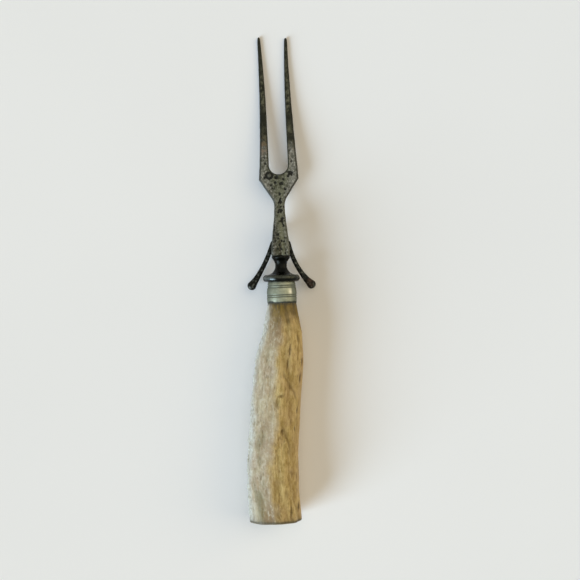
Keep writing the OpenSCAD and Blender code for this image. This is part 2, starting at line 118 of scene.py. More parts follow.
def span(x, low, high):
    """Straight step: 0 below low, 1 above high, and a straight rise between them."""
    return np.clip((x - low) / (high - low), 0, 1)


def ease(x, low, high):
    """Smooth step: 0 below low, 1 above high, and a cubic that is level at both ends between them."""
    t = span(x, low, high)
    return t * t * (3 - 2 * t)


def ramp(x, at, soft):
    """0 before at, then one to one past it, with a parabola over soft on either side of at."""
    return np.where(x < at - soft, 0, np.where(x > at + soft, x - at, (x - at + soft) ** 2 / (4 * soft)))


def hump(x, middle, width):
    """Bell of height 1 and of the given half width round its middle."""
    return np.exp(-(((x - middle) / width) ** 2))


def lattice(i, j, k, seed):
    """A fixed random number from 0 to 1 for each corner: the fraction of a large multiple of a sine."""
    return np.abs(np.sin(i * 12.9898 + j * 78.233 + k * 37.719 + seed * 4.1414) * 43758.5453) % 1


def cloud(x, y, z, seed):
    """Smooth noise from -1 to 1: the numbers at a unit lattice's eight corners, blended by smooth steps."""
    x, y, z = np.broadcast_arrays(x, y, z)
    cells = [np.floor(c) for c in (x, y, z)]
    shares = [ease(c - cell, 0, 1) for c, cell in zip((x, y, z), cells)]
    total = 0
    for bits in np.ndindex(2, 2, 2):
        weight = math.prod(share if bit else 1 - share for bit, share in zip(bits, shares))
        total = total + weight * lattice(*(cell + bit for cell, bit in zip(cells, bits)), seed)
    return 2 * total - 1


def layers(x, y, z, seed, count=3):
    """Layers of smooth noise, each twice as fine and half as strong as the one before."""
    return sum(cloud(x * 2**n, y * 2**n, z * 2**n, seed + 7 * n) / 2**n for n in range(count))


def beads(x, y, z, seed):
    """Round beads from 0 to 1: one less the squared distance to the nearest of points, one to a unit cell."""
    x, y, z = np.broadcast_arrays(x, y, z)
    nearest = np.full(x.shape, 4.0)
    for a, b, c in np.ndindex(3, 3, 3):
        i, j, k = np.floor(x) + a - 1, np.floor(y) + b - 1, np.floor(z) + c - 1
        gaps = (p + lattice(i, j, k, seed + n) - q for n, (p, q) in enumerate(((i, x), (j, y), (k, z))))
        nearest = np.minimum(nearest, sum(gap**2 for gap in gaps))
    return np.clip(1 - nearest, 0, 1)


def grid_noise(grid, scale, seed):
    """Layers of smooth noise at the points of a grid."""
    return layers(*(grid[..., k] * scale for k in range(3)), seed)


def stations(step, *knots):
    """Numbers from the first knot to the last, about one step apart, with every knot among them."""
    runs = [np.linspace(a, b, max(2, math.ceil((b - a) / step) + 1))[:-1] for a, b in zip(knots, knots[1:])]
    return np.concatenate(runs + [knots[-1:]])


def chain(*parts):
    """Numbers and rows of numbers, end to end."""
    return np.concatenate([np.atleast_1d(part) for part in parts])


def column(*parts):
    """The same, one below the other, as the rows of a grid."""
    return chain(*parts)[:, None]


def across(first, second, count):
    """Straight runs in each row, from the first to the second."""
    return blend(first, second, np.linspace(0, 1, count)[None, :])


def joined(*runs):
    """Runs in each row, end to end, where each starts at the last point of the one before."""
    return np.concatenate([runs[0]] + [part[:, 1:] for part in runs[1:]], 1)


def around(count):
    """Angles of a full turn, in a row."""
    return np.linspace(0, 2 * np.pi, count, endpoint=False)[None, :]


def from_top(turn):
    """Angles of a turn in degrees from the top, negative on the left."""
    return (np.degrees(turn) + 180) % 360 - 180


def squarish(turn, power):
    """Sine and cosine of a superellipse: their sizes to a power below 1, which squares the circle off."""
    sine, cosine = np.sin(turn), np.cos(turn)
    return np.sign(sine) * np.abs(sine) ** power, np.sign(cosine) * np.abs(cosine) ** power


def turned(radii, along, count=96, axis="s", middle=(0, 0, 0)):
    """Surface of revolution: a profile of radii and places along its axis, carried round a circle."""
    r, t = np.asarray(radii, float)[:, None], np.asarray(along, float)[:, None]
    turn = around(count)
    one, two, three = r * np.sin(turn), t + 0 * turn, r * np.cos(turn)
    order = {"s": (one, two, three), "x": (two, one, three), "z": (one, three, two)}[axis]
    return np.stack(order, -1) + np.asarray(middle, float)


def bevelled(count):
    """Bevel from top (0, 0) to side (1, 1), along a superellipse between a straight cut and a round."""
    turn = np.linspace(0, np.pi / 2, count)[None, :]
    return np.sin(turn) ** (2 / BEVEL_POWER), 1 - np.clip(np.cos(turn), 0, 1) ** (2 / BEVEL_POWER)


def in_scene(name, data):
    """A new object in the scene."""
    thing = bpy.data.objects.new(name, data)
    bpy.context.scene.collection.objects.link(thing)
    return thing


def shell(name, body, finish, grids, angle=38):
    """One closed piece from grids of points in the fork's axes.

    Each grid is (points by row and column, whether its columns close into a ring, marks), where marks are
    numbers at the points that the finish reads. Coinciding points are welded, which closes seams and poles.
    """
    points, faces, marks = [], [], {key: [] for _, _, given in grids for key in given}
    start = 0
    for grid, ring, given in grids:
        rows, cols = grid.shape[:2]
        row = np.arange(rows - 1)[:, None] * cols
        col = np.arange(cols if ring else cols - 1)[None, :]
        after = (col + 1) % cols
        corners = [row + col, row + after, row + cols + after, row + cols + col]
        faces.append(start + np.stack(corners, -1).reshape(-1, 4))
        points.append(grid.reshape(-1, 3))
        for key in marks:
            marks[key].append(np.broadcast_to(given.get(key, 0), (rows, cols)).ravel())
        start += rows * cols
    mesh = bpy.data.meshes.new(name)
    mesh.from_pydata(np.concatenate(points) / 1000 + SEAT, [], np.concatenate(faces).tolist())
    for key, values in marks.items():
        layer = mesh.attributes.new(key, "FLOAT", "POINT")
        layer.data.foreach_set("value", np.concatenate(values).astype(np.float32))
    weld = bmesh.new()
    weld.from_mesh(mesh)
    bmesh.ops.remove_doubles(weld, verts=weld.verts, dist=2e-6)
    bmesh.ops.recalc_face_normals(weld, faces=weld.faces)
    weld.to_mesh(mesh)
    weld.free()
    mesh.shade_smooth()
    mesh.set_sharp_from_angle(angle=math.radians(angle))
    mesh.materials.append(finish)
    piece = in_scene(name, mesh)
    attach(piece, body)
    return piece


# Plan and side view of the forged head, as functions of the station
BELLY_AT = REACH - BELLY_BACK
SWEEP_TURN = 2 * math.atan((AXIS_H - SHANK_T / 2) / (BELLY_AT - SWEEP_AT))
TINE_R = (BELLY_AT - SWEEP_AT) / math.sin(SWEEP_TURN) - SWEEP_R
SWEEP_END = SWEEP_AT + SWEEP_R * math.sin(SWEEP_TURN)


def back(s):
    """Height of the back: level, an arc down from the shank, then a long arc that is level at the belly."""
    first = -SHANK_T / 2 - SWEEP_R + np.sqrt(SWEEP_R**2 - np.clip(s - SWEEP_AT, 0, SWEEP_R) ** 2)
    second = -AXIS_H + TINE_R - np.sqrt(TINE_R**2 - (s - BELLY_AT) ** 2)
    return np.where(s < SWEEP_END, first, second)


def thick(s):
    """Thickness: half a cosine to the neck, a straight run to the crotch, then a power curve to the tips."""
    ease_down = 0.5 + 0.5 * np.cos(np.pi * span(s, SHANK_AT, NECK_AT))
    run = blend(NECK_T, TINE_ROOT_T, (s - NECK_AT) / (CROTCH_AT - NECK_AT))
    taper = blend(TINE_ROOT_T, TINE_TIP_T, span(s, CROTCH_AT, REACH) ** TAPER_POWER)
    return np.where(s < NECK_AT, blend(NECK_T, SHANK_T, ease_down), np.where(s < CROTCH_AT, run, taper))


def outer(s):
    """Half width: half a cosine to the neck, a soft start to a straight flare, then a square curve."""
    start = NECK_AT - NECK_FILLET
    ease_in = 0.5 + 0.5 * np.cos(np.pi * span(s, SHANK_AT, start))
    flare = (SHOULDER_W - NECK_W) / 2 / (SHOULDER_AT - NECK_AT)
    neck = NECK_W / 2 + flare * ramp(s, NECK_AT, NECK_FILLET)
    left = 1 - span(s, SHOULDER_AT, REACH)
    tine = blend(TIP_SPREAD, SHOULDER_W, left**2) / 2
    return np.where(s < start, blend(NECK_W, SHANK_W, ease_in) / 2, np.where(s < SHOULDER_AT, neck, tine))


def inner(s):
    """Half of the gap between the tines above the crotch: even, then opening out by a square curve."""
    return blend(TINE_GAP, TIP_GAP, span(s, GAP_OPENS_AT, REACH) ** 2) / 2


def lean(s):
    """Sideways shift of the leaning tines: none at the crotch, then straight after a soft start."""
    return -math.tan(TINE_LEAN) * ramp(s, CROTCH_AT + LEAN_FREE, LEAN_FREE)


# Hinge and spring behind the shank
PIN_H = float(back(PIN_AT)) - LEG_T / 2 - SWING_GAP
SPRING_H = PIN_H + KNUCKLE_R + KNUCKLE_FREE
SPRING_FALL = (float(back(PIN_AT + SPRING_LEN)) - float(back(PIN_AT))) / SPRING_LEN
SPRING_HELD = PIN_AT + SPRING_LEN - 2 * RIVET_IN
SLOT_HALF = EAR_R + SWING_GAP
GROOVE_END = PIN_AT + SPRING_LEN + SWING_GAP


def groove_top(s):
    """Ceiling of the knuckle's slot, then of the spring's groove, deeper where the spring lifts."""
    slot = SPRING_H + SPRING_T + SPRING_LIFT
    lift = np.where(s < SPRING_HELD, SPRING_LIFT, 0)
    return np.where(s < PIN_AT + SLOT_HALF, slot, SPRING_H + SPRING_FALL * (s - PIN_AT) + SPRING_T + lift)


# Single rust pits on the front face: place across, station, radius, depth
PITS = (
    (0.5, 45.2, 0.85, 0.34), (0.7, 46.8, 0.6, 0.3), (0.7, 39.8, 0.85, 0.34), (-0.6, 39.1, 0.5, 0.22),
    (1.2, 35.6, 0.8, 0.32), (1.1, 34.2, 0.9, 0.34), (0.6, 42.4, 0.5, 0.2), (2.0, 31.6, 0.6, 0.2),
    (-1.3, 26.4, 0.6, 0.18), (-1.4, 59.2, 0.8, 0.4), (6.7, 61.6, 1.4, 0.26), (5.2, 59.8, 0.8, 0.2),
    (1.2, 55.6, 0.9, 0.24), (-2.2, 56.3, 0.7, 0.2), (3.4, 52.2, 0.7, 0.22), (-4.6, 54.6, 0.6, 0.18),
    (2.6, 57.9, 0.6, 0.2), (7.4, 68.4, 0.6, 0.2), (-7.4, 67.2, 0.7, 0.2), (-7.9, 70.6, 0.6, 0.2),
    (7.0, 74.5, 0.5, 0.18), (0.3, 49.3, 0.7, 0.24),
)
# Ring-shaped dent: place across, station, radius, depth of its ring and of its floor
RING_DENT = (-5.4, 60.4, 1.75, 0.3, 0.07)
# Pits this deep are fully dark
DARK_DEPTH = 0.2
# Stretches of the left (-1) and the right (1) tine: station, half length, strength
RUST = {-1: ((76, 4.5, 1),), 1: ((72, 5, 0.3),)}
SOOT = {-1: ((66.5, 3, 1),), 1: ()}
SCORCH = {
    -1: ((93.5, 6.5, 1), (84.5, 3, 0.45), (127, 9, 0.75), (137, 4, 0.7)),
    1: ((93, 5, 0.8), (82, 2.5, 0.9), (127, 8, 0.5), (137, 4, 0.7)),
}


def face_relief(x, s):
    """Relief of the front face and its pit mark.

    Slow hammer waves, less the deepest of strewn rust pits, single pits with ragged bells, and a ring dent.
    """
    waves = 0.07 * layers(x * 0.2, s * 0.13, 0, 3)
    strewn = np.clip((beads(x * 0.62, s * 0.5, 0.5, 5) - 0.72) * 4, 0, 1)
    pits = 0.14 * strewn * ease(layers(x * 0.16, s * 0.12, 1.5, 9), -0.1, 0.5)
    ragged = np.maximum(0.3, 1 + layers(x * 1.5, s * 1.2, 0, 21))
    for place, station, radius, depth in PITS:
        away = ((x - place) ** 2 + (s - station) ** 2) * ragged / radius**2
        pits = np.maximum(pits, depth * np.exp(-(away**1.5)))
    place, station, radius, ring, floor_depth = RING_DENT
    away = np.hypot(x - place, s - station)
    pits = np.maximum(pits, np.maximum(ring * hump(away, radius, 0.55), floor_depth * (away < radius)))
    strength = blend(0.35, 1, ease(-s, -90, -66))
    return (waves - pits) * strength, np.clip(pits / DARK_DEPTH, 0, 1) * strength


def stretches(s, spots):
    """Sum of bells along the fork."""
    return sum((strength * hump(s, station, half) for station, half, strength in spots), 0 * s)


def tone_marks(side, x, s, edge):
    """Tone marks: bells for rust and scorch, for a lighter run that is painted sheen and wear, and for
    smeared runs with painted shade down the shank's left; smooth steps for worn edges.
    """
    right = side * x
    soot = stretches(s, SOOT[side])
    worn = ease(x / edge, 0.3, 0.75) * (1 - ease(s, 76, 86)) * blend(0.4, 1, ease(s, 43, 52))
    # A lighter streak down the shank and a patch by the neck: painted sheen, partly wear
    sheen_and_wear = hump(right, 1.4 - 0.05 * (s - SHANK_AT), 1.3) * (1 - ease(s, 34, 42))
    # Smears near the shank's foot, and painted shade down the left of the shank
    smear_and_shade = hump(right, -0.2, 0.8) * (1 - ease(s, 20, 27)) + hump(right, -3.4, 1.8) * (1 - ease(s, 28, 42))
    return {
        "rust": stretches(s, RUST[side]),
        "scorch": stretches(s, SCORCH[side]),
        "worn": worn * (1 - 0.6 * soot),
        "sheen_and_wear": sheen_and_wear + 0.8 * hump(right, 2.4, 1.1) * hump(s, 43, 5),
        "smear_and_shade": smear_and_shade + 0.3 * (1 - ease(s, 19, 26)) + 0.5 * soot,
    }


def head_half(side, end):
    """Grids of the right (1) or left (-1) half of the tines, shoulder and shank.

    The outer sheet runs row by row from the shank's foot to the tip: across the front face from the middle or
    the gap, over a bevel, down the side, over a bevel, and back across the rear face, where it steps up into
    the hinge groove. The gap wall closes it above the crotch, along a half circle and then up the tine.
    """
    face, bevel, rear, step, nick = 40, 6, 16, 4, 0.01
    crotch_r, rim_r = TINE_GAP / 2, TINE_GAP / 2 + CROTCH_BEVEL
    below = stations(
        0.36, SHANK_AT + 0.35, PIN_AT - SLOT_HALF - nick, PIN_AT - SLOT_HALF + nick, PIN_AT + SLOT_HALF,
        SPRING_HELD, GROOVE_END - nick, GROOVE_END + nick,
        SHOULDER_AT - SHOULDER_SKEW, SHOULDER_AT + SHOULDER_SKEW, CROTCH_END - rim_r)
    bend = np.linspace(0, np.pi / 2, 19)
    tip_start = end - TIP_ROUND
    tine = stations(0.6, CROTCH_END, tip_start)[1:]
    close = np.linspace(0, np.pi / 2, 9)[1:]
    tip = tip_start + TIP_ROUND * np.sin(close)
    rising = chain(tine, tip)
    s = column([SHANK_AT, SHANK_AT], below, CROTCH_END - rim_r * np.cos(bend[1:]), rising)
    gap = column(np.zeros(2 + len(below)), rim_r * np.sin(bend[1:]), inner(rising) + CROTCH_BEVEL)
    shrink = column([0, 0.95], np.ones(len(s) - 2 - len(close)), np.cos(close))
    uneven = 0.07 * layers(s * 0.3, side, 0, 15) * ease(s, SHANK_AT, SHANK_AT + 4)
    edge = outer(s - side * SHOULDER_SKEW) + uneven
    low = back(s)
    high = low + thick(s)
    room = np.minimum(edge - np.where(s > CROTCH_END, inner(s), 0), thick(s))
    cut = np.minimum(EDGE, room / EDGE_ROOM)

    down, fall = bevelled(bevel)
    groove_x = np.where(s < CROTCH_AT, np.minimum(SLOT_W / 2, edge / 2), blend(gap, edge, 0.4))
    ceiling = np.where((s > PIN_AT - SLOT_HALF) & (s < GROOVE_END), groove_top(s), low)
    x = joined(
        across(gap, edge - cut, face), edge - cut + cut * down, across(edge, edge, bevel), edge - cut * fall,
        across(edge - cut, groove_x, rear), across(groove_x, groove_x, step), across(groove_x, gap, bevel))
    z = joined(
        across(high, high, face), high - cut * fall, across(high - cut, low + cut, bevel),
        low + cut - cut * down, across(low, low, rear), across(low, ceiling, step),
        across(ceiling, ceiling, bevel))
    front, rim = np.zeros((2, 1, x.shape[1]))
    front[:, :face] = 1
    front[:, face:face + bevel - 1] = 1 - fall[:, 1:]
    rim[:, face - 1:face + 2 * bevel] = 1
    relief, pit = face_relief(side * x, s)
    z = z + relief * front

    # Wall of the gap between the tines, from the middle of the crotch up to the tip
    wall_s = column(CROTCH_END - crotch_r * np.cos(bend), rising)
    wall_x = column(crotch_r * np.sin(bend), inner(rising))
    rows = len(s) - len(wall_s)
    share = np.concatenate([1 - down, np.zeros((1, step)), down], 1)
    wall_cut = np.minimum(CROTCH_BEVEL, thick(wall_s) / EDGE_ROOM)
    wall_s, wall_x = blend(wall_s, s[rows:], share), blend(wall_x, gap[rows:], share)
    wall_low = back(wall_s)
    wall_high = wall_low + thick(wall_s)
    relief, _ = face_relief(side * wall_x, wall_s)
    upper = wall_high[:, :bevel] - wall_cut * fall
    lower = wall_low[:, -bevel:] + wall_cut * (1 - fall)
    between = across(upper[:, -1:], lower[:, :1], step + 2)[:, 1:-1]
    wall_z = np.concatenate([upper + relief[:, :bevel] * (1 - fall), between, lower], 1)

    def closed(x, s, z, size):
        """Shrinks the tip's rows, and the foot's first rows, towards their middles and leans the tines."""
        mid_x = np.where(s > CROTCH_AT, (inner(s) + outer(s - side * SHOULDER_SKEW)) / 2, 0)
        mid_z = back(s) + thick(s) / 2
        return np.stack([side * blend(mid_x, x, size) + lean(s), s, blend(mid_z, z, size)], -1)

    # The rim mark darkens the bevels, and the gap wall below, with painted shade
    marks = {"pit": pit * front, "front": front, "rim": rim * blend(0.3, 1, ease(s, 40, 50))}
    return [(closed(x, s + 0 * x, z, shrink), False, marks | tone_marks(side, x, s, edge)),
            (closed(wall_x, wall_s, wall_z, shrink[rows:]), False, {"rim": 1})]


def ear(side):
    """Hinge ear: a plate that is half round below the pin, carried across with small bevels."""
    turn = np.linspace(0, -np.pi, 33)
    s = chain(EAR_R, EAR_R * np.cos(turn), -EAR_R)
    z = chain(EAR_TOP, EAR_R * np.sin(turn), EAR_TOP)
    inside, outside = SLOT_W / 2, EARS_W / 2
    x = column([inside, inside, inside + 0.2, outside - 0.45, outside - 0.12, outside, outside])
    size = column([0, 0.94, 1, 1, 0.95, 0.86, 0])
    s, z = blend(s.mean(), s[None, :], size), blend(z.mean(), z[None, :], size)
    # Its bevels carry the rim mark, which is painted shade
    return np.stack([side * (x + 0 * s), PIN_AT + s, PIN_H + z], -1), True, {"rim": size < 1}


def bolster():
    """Turned bolster: a cup, the waist, a hollow out to the flange, and the flange's two round lips.

    The cup is the smooth lesser of collar and hollow, and the hollows are arcs.
    """
    def hollow(s):
        """Radius of the hollow above the waist: an arc."""
        return WAIST_R + HOLLOW_R - np.sqrt(HOLLOW_R**2 - (s - WAIST_AT) ** 2)

    cup_s = np.linspace(SHANK_AT - 0.1, WAIST_AT + 1.5, 40)
    cup_r = np.exp(-COLLAR_SHARP * hollow(cup_s)) + np.exp(-COLLAR_SHARP * COLLAR_R)
    cup_r = -np.log(cup_r) / COLLAR_SHARP
    collar_s = WAIST_AT + math.sqrt(HOLLOW_R**2 - (WAIST_R + HOLLOW_R - COLLAR_R) ** 2)
    waist_s = np.linspace(collar_s, WAIST_AT, 22)
    waist_s = waist_s[waist_s < WAIST_AT + 1.45]
    foot = WAIST_AT - FLANGE_T
    sweep = math.acos(max(0, WAIST_R + foot - FLANGE_R + LIP_R) / foot)
    foot_s = WAIST_AT - foot * np.sin(np.linspace(0, sweep, 30))[1:]
    foot_r = WAIST_R + foot - np.sqrt(np.clip(foot**2 - (foot_s - WAIST_AT) ** 2, 0, None))
    turn = np.linspace(0, np.pi / 2, 10)
    lip_s = chain(FLANGE_T - LIP_R + LIP_R * np.cos(turn), LIP_R - LIP_R * np.sin(turn))
    lip_r = FLANGE_R - LIP_R + LIP_R * chain(np.sin(turn), np.cos(turn))
    s = chain([SHANK_AT + 1, SHANK_AT + 1, SHANK_AT], cup_s, waist_s, foot_s, lip_s, 0)
    r = chain([0, COLLAR_R - 0.3, COLLAR_R - 0.15], cup_r, hollow(waist_s), foot_r, lip_r, 0)
    grid = turned(r, s)
    grid[..., [0, 2]] *= 1 + 0.006 * grid_noise(grid, 0.5, 31)[..., None]
    # Bare steel on the left of the flange's lower lip, coloured as a painted bluish highlight
    bare_and_glint = ease(-grid[..., 0], 2.6, 6) * hump(column(s), 1.9, 0.8)
    return grid, True, {"rim": hump(column(s), 2.8, 0.8), "bare_and_glint": bare_and_glint}


def tang():
    """Square tang with bevelled corners that tapers evenly to its end."""
    s = column([1, 1, -TANG_LEN + 1, -TANG_LEN, -TANG_LEN])
    half = TANG_FREE * column([0, TANG_W / 2, TANG_END_W / 2, TANG_END_W / 2 - 0.6, 0])
    turn = (np.arange(4)[:, None] * np.pi / 2 + np.radians([8, 37, 53, 82])).reshape(1, -1)
    reach = half / np.maximum(np.abs(np.cos(turn)), np.abs(np.sin(turn)))
    return np.stack([reach * np.sin(turn), s + 0 * turn, reach * np.cos(turn)], -1), True, {}


def guard_leg(splay):
    """Half of the guard's bar from the middle of its yoke: places, headings, widths and thicknesses.

    A straight yoke, a bend round a circle, a long arc out to the toe that swells by powers of its share, and
    a toe that closes round.
    """
    bend = np.array([(YOKE_W - LEG_W) / 2 - BEND_R, PIN_AT + YOKE_AT - BEND_R])
    top = bend + BEND_R * np.array([math.cos(splay), math.sin(splay)])
    chord = TOE - top
    turn = 2 * (math.atan2(chord[0], -chord[1]) - splay)
    r = np.linalg.norm(chord) / 2 / math.sin(turn / 2)
    corner = np.linspace(np.pi / 2, splay, 13)
    share = np.linspace(0, 1, 49)[1:]
    leg = splay + turn * share
    close = np.linspace(0, np.pi / 2, 9)[1:]
    out = 0.98 * TOE_R * np.sin(close)
    x = chain(
        0, bend[0] + BEND_R * np.cos(corner), top[0] + r * (math.cos(splay) - np.cos(leg)),
        TOE[0] + out * math.sin(leg[-1]))
    s = chain(
        bend[1] + BEND_R, bend[1] + BEND_R * np.sin(corner), top[1] + r * (math.sin(splay) - np.sin(leg)),
        TOE[1] - out * math.cos(leg[-1]))
    heading = chain(np.pi / 2, corner, leg, leg[-1] + 0 * close)
    even = np.ones(1 + len(corner))
    toe_w, toe_t = 2 * TOE_R, 2 * TOE_R - TOE_FLAT
    w = chain(LEG_W * even, blend(LEG_W, toe_w, share**TOE_W_POWER), toe_w * np.cos(close))
    t = chain(LEG_T * even, blend(LEG_T, toe_t, share**TOE_T_POWER), toe_t * np.cos(close))
    return x, s, heading, w, t


def guard_bar():
    """Bent bar of the guard: a squarish oval section carried along both legs, from right toe to left."""
    right, left = guard_leg(RIGHT_SPLAY), guard_leg(LEFT_SPLAY)
    x, s, heading, w, t = (column(a[::-1], b[1:]) for a, b in zip(right, left))
    side = column(np.ones(len(right[0])), -np.ones(len(left[0]) - 1))
    over, up = squarish(around(32), 0.85)
    over, up = over * w / 2, up * t / 2
    x, s = side * (x + over * np.cos(heading)), s + over * np.sin(heading)
    rough = 0.05 * layers(x * 0.6, s * 0.6, up * 0.6, 41)
    toe = 1 - ease(np.hypot(x - TOE[0] + 0.6, s - TOE[1] - 1), 0.8, 4.2)
    top = ease(2 * up / np.maximum(t, 0.01), 0.75, 0.97)
    return np.stack([x, s, PIN_H + up * (1 + rough)], -1), True, {"toe": toe, "top": top}


def guard_knuckle():
    """Knuckle on the pin: a round with two flats, carried across with small bevels."""
    turn = around(64)
    flat = KNUCKLE_R - CAM_FLAT
    s, z = np.minimum(KNUCKLE_R * np.sin(turn), flat), np.minimum(KNUCKLE_R * np.cos(turn), flat)
    half = KNUCKLE_W / 2
    x = column([-half, -half, 0.2 - half, half - 0.2, half, half])
    size = column([0, 0.93, 1, 1, 0.93, 0])
    return np.stack([x + 0 * turn, PIN_AT + s * size, PIN_H + z * size], -1), True, {}


def guard_hub():
    """Hub between knuckle and yoke: a block with a superellipse section that tapers a little."""
    round_x, round_z = squarish(around(40), 0.4)
    s = PIN_AT + column([YOKE_AT, YOKE_AT, -KNUCKLE_R, 0, 0])
    size = column([0, 1, 1, 0.98, 0])
    x, z = HUB_FREE * KNUCKLE_W / 2 * round_x * size, PIN_H + HUB_T / 2 * round_z * size
    return np.stack([x, s + 0 * x, z], -1), True, {}


def hinge_pin():
    """Pin with low peened domes at both ends, each a quarter ellipse."""
    dome = np.linspace(0, np.pi / 2, 8)
    half, head_r = EARS_W / 2, PEENED * PIN_R
    x = chain(-half - PIN_HEAD * np.cos(dome), -half, half, half + PIN_HEAD * np.sin(dome))
    r = chain(head_r * np.sin(dome), PIN_R, PIN_R, head_r * np.cos(dome))
    return turned(r, x, 40, "x", (0, PIN_AT, PIN_H)), True, {}


def leaf_spring():
    """Leaf spring: a flat bar with a superellipse section and soft ends, sloping along the shank."""
    tail, end = -SPRING_TAIL, SPRING_LEN
    s = column([tail, tail, tail + SPRING_SOFT, end - SPRING_SOFT, end, end])
    size = column([0, 0.94, 1, 1, 0.94, 0])
    over, up = squarish(around(32), 0.25)
    x, z = SPRING_W / 2 * over * size, SPRING_T / 2 * (1 + up * size)
    return np.stack([x, PIN_AT + s + 0 * x, SPRING_H + SPRING_FALL * s + z], -1), True, {}


def spring_rivet():
    """Rivet through the fixed end of the spring, with a domed head below it, a quarter ellipse in profile."""
    at = SPRING_LEN - RIVET_IN
    dome = np.linspace(0, np.pi / 2, 10)
    end = SPRING_T + RIVET_DEEP
    z = chain(-RIVET_HEAD_T * np.cos(dome), 0, end - 0.2, end)
    r = chain(RIVET_HEAD_R * np.sin(dome), RIVET_R, RIVET_R, 0)
    return turned(r, z, 40, "z", (0, PIN_AT + at, SPRING_H + SPRING_FALL * at)), True, {}


def ferrule():
    """Ferrule: a barrel arc with two pairs of half-round grooves and soft ends, turned, and its bore.

    Its outside has shallow dents, which are noise.
    """
    behind = stations(0.11, 0.12, FERRULE_LEN - 0.12)
    r = FERRULE_BELLY_R - FERRULE_ARC + np.sqrt(FERRULE_ARC**2 - (behind - FERRULE_BELLY_AT) ** 2)
    for groove in GROOVES:
        r = r - GROOVE_SINK * np.sqrt(np.clip(GROOVE_R**2 - (behind - groove) ** 2, 0, None))
    behind = column([0, 0, 0.03], behind, [FERRULE_LEN - 0.03, FERRULE_LEN, FERRULE_LEN, 0])
    r = column(
        [FERRULE_BORE_R, r[0] - 0.15, r[0] - 0.05], r,
        [r[-1] - 0.05, r[-1] - 0.15, FERRULE_BORE_R, FERRULE_BORE_R])
    grid = turned(r[:, 0], -behind[:, 0], FERRULE_COLS)
    dents = 0.006 * grid_noise(grid, 0.22, 51) + 0.0018 * grid_noise(grid, 1.1, 52)
    grid[..., [0, 2]] *= (1 + dents * (r > FERRULE_BORE_R + 0.1))[..., None]

    # Marks: dirt in the grooves and a scratch, a darker ring under the flange, painted shade down the sides,
    # a painted highlight, and grime with painted shade in the gap at the antler
    angle = from_top(around(FERRULE_COLS))
    grooves = sum(hump(behind, groove, 0.22) for groove in GROOVES) + 0.3 * hump(behind, 0, 0.3)
    scratch = hump(angle, 48, 3) * hump(behind, 5.4, 2.2)
    scallop = 0.35 * layers(grid[..., 0] * 0.4, 0, grid[..., 2] * 0.4, 53)
    return grid, True, {
        "hollow": np.clip(np.maximum(grooves, 0.8 * scratch), 0, 1),
        "side_shade": ease(np.abs(angle), 25, 75),
        "painted_glint": hump(angle, 36, 7) * hump(behind, 5.6, 1.5),
        "grime_and_gap_shade": ease(behind + scallop, FERRULE_LEN - 1.5, FERRULE_LEN - 0.6),
    }


def antler_half(behind, swell, butt):
    """Half size of the antler: straight to the swell, then straight to the butt, with a soft bend."""
    bent = ramp(behind, SWELL_AT, SWELL_SOFT)
    first = (swell / 2 - NECK_R) / SWELL_AT
    second = (butt - swell) / 2 / (HANDLE_LEN - SWELL_AT)
    return NECK_R + first * (behind - bent) + second * bent


def antler_bow(behind):
    """Sideways shift of the antler's middle, as a sine of the distance behind the ferrule."""
    return -BOW * np.sin(np.pi / 2 * np.maximum(0, behind - BOW_AT) / BOW_LEN)


